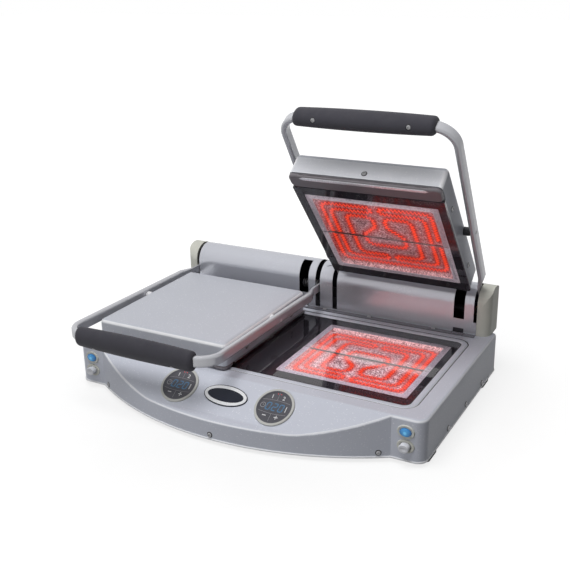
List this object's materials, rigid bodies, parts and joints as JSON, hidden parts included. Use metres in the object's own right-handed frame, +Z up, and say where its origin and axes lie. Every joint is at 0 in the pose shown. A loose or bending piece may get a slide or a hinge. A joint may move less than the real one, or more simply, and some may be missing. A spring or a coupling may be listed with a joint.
{
  "type": "panini press",
  "caption": "Countertop panini press: wide metal base with glass hotplates and a bowed control front, and heated lids carried on hinged bar arms with oval grips.",
  "frame": {"origin": "on the table, under the middle of the footprint", "axes": "+X to the right as seen from the front, +Y to the back, +Z up"},
  "size_m": [0.6236, 0.4604, 0.4716],
  "materials": {
    "casing_silver": "satin silver",
    "pan_steel": "plain sheet",
    "plain_steel": "plain",
    "arm_steel": "satin",
    "screw_steel": "bright",
    "rail_aluminium": "satin",
    "bush_brass": "turned",
    "foot_rubber": "matt",
    "seal_rubber": "matt",
    "black_glass": "smoked, with a printed black border",
    "insulation_board": "speckled pressed fibre",
    "heating_ribbon": "glowing",
    "moulded_grey": "fine grain",
    "panel_film": "printed film",
    "badge_dark": "bare",
    "circuit_board": "lacquered",
    "black_plastic": "plain",
    "lit_lens": "lit from behind",
    "button_grey": "plain",
    "grip_plastic": "fine grain"
  },
  "bodies": {
    "base": {"base_shell": "casing_silver", "bottom_pan": "pan_steel", "rubber_feet": "foot_rubber", "casing_screws": "screw_steel", "lower_glass": "black_glass", "glass_seal": "seal_rubber", "heater_brackets": "plain_steel", "hinge_bed": "plain_steel", "hinge_cover": "casing_silver", "left_end_block": "moulded_grey", "right_end_block": "moulded_grey", "bearing_brackets": "plain_steel", "bearing_bushes": "bush_brass", "housing_screws": "screw_steel", "balance_springs": "plain_steel", "control_bezels": "moulded_grey", "control_panels": "panel_film", "control_boards": "circuit_board", "badge_plate": "badge_dark", "power_board": "circuit_board", "terminal_block": "black_plastic", "button_bezels": "moulded_grey", "button_switches": "black_plastic", "cable_gland": "black_plastic", "lower_heater_trays": "plain_steel", "lower_heater_insulation": "insulation_board", "lower_heater_elements": "heating_ribbon", "lower_heater_limiters": "plain_steel"},
    "left_arms": {"left_arm_frame": "arm_steel", "left_grip": "grip_plastic", "left_grip_screws": "screw_steel", "left_hinge_shaft": "plain_steel"},
    "left_lid": {"left_lid_cover": "casing_silver", "left_lid_frame": "plain_steel", "left_front_rail": "rail_aluminium", "left_upper_glass": "black_glass", "left_pivot_pins": "plain_steel", "left_lid_screws": "screw_steel", "left_upper_heater_tray": "plain_steel", "left_upper_heater_insulation": "insulation_board", "left_upper_heater_element": "heating_ribbon", "left_upper_heater_limiter": "plain_steel"},
    "right_arms": {"right_arm_frame": "arm_steel", "right_grip": "grip_plastic", "right_grip_screws": "screw_steel", "right_hinge_shaft": "plain_steel"},
    "right_lid": {"right_lid_cover": "casing_silver", "right_lid_frame": "plain_steel", "right_front_rail": "rail_aluminium", "right_upper_glass": "black_glass", "right_pivot_pins": "plain_steel", "right_lid_screws": "screw_steel", "right_upper_heater_tray": "plain_steel", "right_upper_heater_insulation": "insulation_board", "right_upper_heater_element": "heating_ribbon", "right_upper_heater_limiter": "plain_steel"},
    "left_lit_button": {"left_lit_button": "lit_lens"},
    "right_lit_button": {"right_lit_button": "lit_lens"},
    "left_push_button": {"left_push_button": "button_grey"},
    "right_push_button": {"right_push_button": "button_grey"}
  },
  "joints": [
    {"name": "left_lift", "type": "hinge", "parent": "base", "child": "left_arms", "pos_m": [-0.1477, 0.208, 0.104], "axis": [-1, 0, 0], "range_deg": [0, 56.5]},
    {"name": "left_tilt", "type": "hinge", "parent": "left_arms", "child": "left_lid", "pos_m": [-0.1477, 0.00658, 0.11101], "axis": [-1, 0, 0], "range_deg": [-5.9, 0]},
    {"name": "right_lift", "type": "hinge", "parent": "base", "child": "right_arms", "pos_m": [0.1477, 0.208, 0.104], "axis": [-1, 0, 0], "range_deg": [-56.5, 0]},
    {"name": "right_tilt", "type": "hinge", "parent": "right_arms", "child": "right_lid", "pos_m": [0.1477, 0.10268, 0.27583], "axis": [-1, 0, 0], "range_deg": [0, 5.9]},
    {"name": "left_lit_button_press", "type": "slide", "parent": "base", "child": "left_lit_button", "axis": [0, 1, 0], "range_m": [0, 0.002], "stiffness_N_per_m": 400, "springref_m": -0.002},
    {"name": "right_lit_button_press", "type": "slide", "parent": "base", "child": "right_lit_button", "axis": [0, 1, 0], "range_m": [0, 0.002], "stiffness_N_per_m": 400, "springref_m": -0.002},
    {"name": "left_push_button_press", "type": "slide", "parent": "base", "child": "left_push_button", "axis": [0, 1, 0], "range_m": [0, 0.003], "stiffness_N_per_m": 400, "springref_m": -0.002},
    {"name": "right_push_button_press", "type": "slide", "parent": "base", "child": "right_push_button", "axis": [0, 1, 0], "range_m": [0, 0.003], "stiffness_N_per_m": 400, "springref_m": -0.002}
  ],
  "couplings": [
    {"joint": "left_tilt", "follows": "left_lift", "ratio": -0.1044},
    {"joint": "right_tilt", "follows": "right_lift", "ratio": -0.1044}
  ]
}
